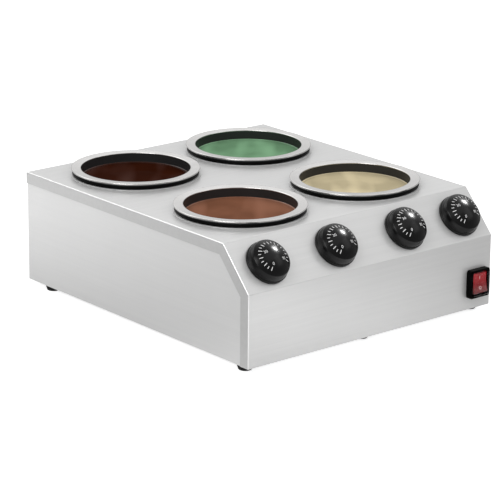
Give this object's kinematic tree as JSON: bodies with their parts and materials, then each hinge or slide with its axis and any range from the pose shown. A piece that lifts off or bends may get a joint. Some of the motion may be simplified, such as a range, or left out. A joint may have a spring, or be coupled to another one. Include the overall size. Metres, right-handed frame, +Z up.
{
  "type": "chocolate melter",
  "caption": "Countertop dry-heat chocolate melter with lift-out round pots in a folded steel casing, thermostat knobs on its front slope and a mains rocker switch.",
  "frame": {"origin": "on the surface that the feet stand on, under the middle of the whole machine's box", "axes": "+Z up, the front with the knobs and the switch faces -Y, +X to the right seen from the front"},
  "size_m": [0.4, 0.4764, 0.1626],
  "materials": {
    "brushed_steel": "brushed stainless sheet, fine lines along the sheet",
    "polished_steel": "polished stainless",
    "galvanised_steel": "plain zinc-coated sheet",
    "heater_plate": "dull heat-tinted steel",
    "non_stick_black": "satin black non-stick coating",
    "black_seal": "semi-gloss black rubber",
    "black_rubber": "matt black rubber",
    "gloss_black": "gloss black moulded plastic",
    "dark_plastic": "matt black plastic",
    "pale_plastic": "pale moulded plastic",
    "red_rocker": "translucent red plastic, lit",
    "clear_boot": "clear flexible plastic",
    "dark_chocolate": "melted dark chocolate, glossy",
    "pistachio_chocolate": "melted pistachio chocolate, glossy",
    "milk_chocolate": "melted milk chocolate, glossy",
    "white_chocolate": "melted white chocolate, glossy"
  },
  "bodies": {
    "casing": {"back_panel": "brushed_steel", "base_plate": "galvanised_steel", "cable_gland": "dark_plastic", "foot_front_left": "black_rubber", "foot_front_middle": "black_rubber", "foot_front_right": "black_rubber", "foot_rear_left": "black_rubber", "foot_rear_middle": "black_rubber", "foot_rear_right": "black_rubber", "gland_nut": "dark_plastic", "heater_front_left": "heater_plate", "heater_front_right": "heater_plate", "heater_rear_left": "heater_plate", "heater_rear_right": "heater_plate", "left_side_panel": "brushed_steel", "locknut_1": "polished_steel", "locknut_2": "polished_steel", "locknut_3": "polished_steel", "locknut_4": "polished_steel", "right_side_panel": "brushed_steel", "seal_ring_front_left": "black_seal", "seal_ring_front_right": "black_seal", "seal_ring_rear_left": "black_seal", "seal_ring_rear_right": "black_seal", "switch_boot": "clear_boot", "switch_housing": "gloss_black", "terminal_block": "pale_plastic", "thermostat_1": "dark_plastic", "thermostat_2": "dark_plastic", "thermostat_3": "dark_plastic", "thermostat_4": "dark_plastic", "top_cover": "brushed_steel", "well_front_left": "brushed_steel", "well_front_right": "brushed_steel", "well_rear_left": "brushed_steel", "well_rear_right": "brushed_steel"},
    "pot_rear_left": {"pot_rear_left": "non_stick_black", "pot_rim_rear_left": "polished_steel", "chocolate_rear_left": "dark_chocolate"},
    "pot_rear_right": {"pot_rear_right": "non_stick_black", "pot_rim_rear_right": "polished_steel", "chocolate_rear_right": "pistachio_chocolate"},
    "pot_front_left": {"pot_front_left": "non_stick_black", "pot_rim_front_left": "polished_steel", "chocolate_front_left": "milk_chocolate"},
    "pot_front_right": {"pot_front_right": "non_stick_black", "pot_rim_front_right": "polished_steel", "chocolate_front_right": "white_chocolate"},
    "knob_1": {"knob_1": "gloss_black", "thermostat_shaft_1": "polished_steel"},
    "knob_2": {"knob_2": "gloss_black", "thermostat_shaft_2": "polished_steel"},
    "knob_3": {"knob_3": "gloss_black", "thermostat_shaft_3": "polished_steel"},
    "knob_4": {"knob_4": "gloss_black", "thermostat_shaft_4": "polished_steel"},
    "rocker": {"switch_rocker": "red_rocker"}
  },
  "joints": [
    {"name": "lift_pot_rear_left", "type": "slide", "parent": "casing", "child": "pot_rear_left", "axis": [0, 0, 1], "range_m": [0, 0.12]},
    {"name": "lift_pot_rear_right", "type": "slide", "parent": "casing", "child": "pot_rear_right", "axis": [0, 0, 1], "range_m": [0, 0.12]},
    {"name": "lift_pot_front_left", "type": "slide", "parent": "casing", "child": "pot_front_left", "axis": [0, 0, 1], "range_m": [0, 0.12]},
    {"name": "lift_pot_front_right", "type": "slide", "parent": "casing", "child": "pot_front_right", "axis": [0, 0, 1], "range_m": [0, 0.12]},
    {"name": "turn_knob_1", "type": "hinge", "parent": "casing", "child": "knob_1", "pos_m": [-0.1544, -0.20387, 0.12555], "axis": [0, -0.738, 0.6748], "range_deg": [-280, 0]},
    {"name": "turn_knob_2", "type": "hinge", "parent": "casing", "child": "knob_2", "pos_m": [-0.046, -0.20387, 0.12555], "axis": [0, -0.738, 0.6748], "range_deg": [-280, 0]},
    {"name": "turn_knob_3", "type": "hinge", "parent": "casing", "child": "knob_3", "pos_m": [0.0684, -0.20387, 0.12555], "axis": [0, -0.738, 0.6748], "range_deg": [-280, 0]},
    {"name": "turn_knob_4", "type": "hinge", "parent": "casing", "child": "knob_4", "pos_m": [0.1612, -0.20387, 0.12555], "axis": [0, -0.738, 0.6748], "range_deg": [-280, 0]},
    {"name": "press_rocker", "type": "hinge", "parent": "casing", "child": "rocker", "pos_m": [0.175, -0.2258, 0.0423], "axis": [1, 0, 0], "range_deg": [0, 14]}
  ]
}
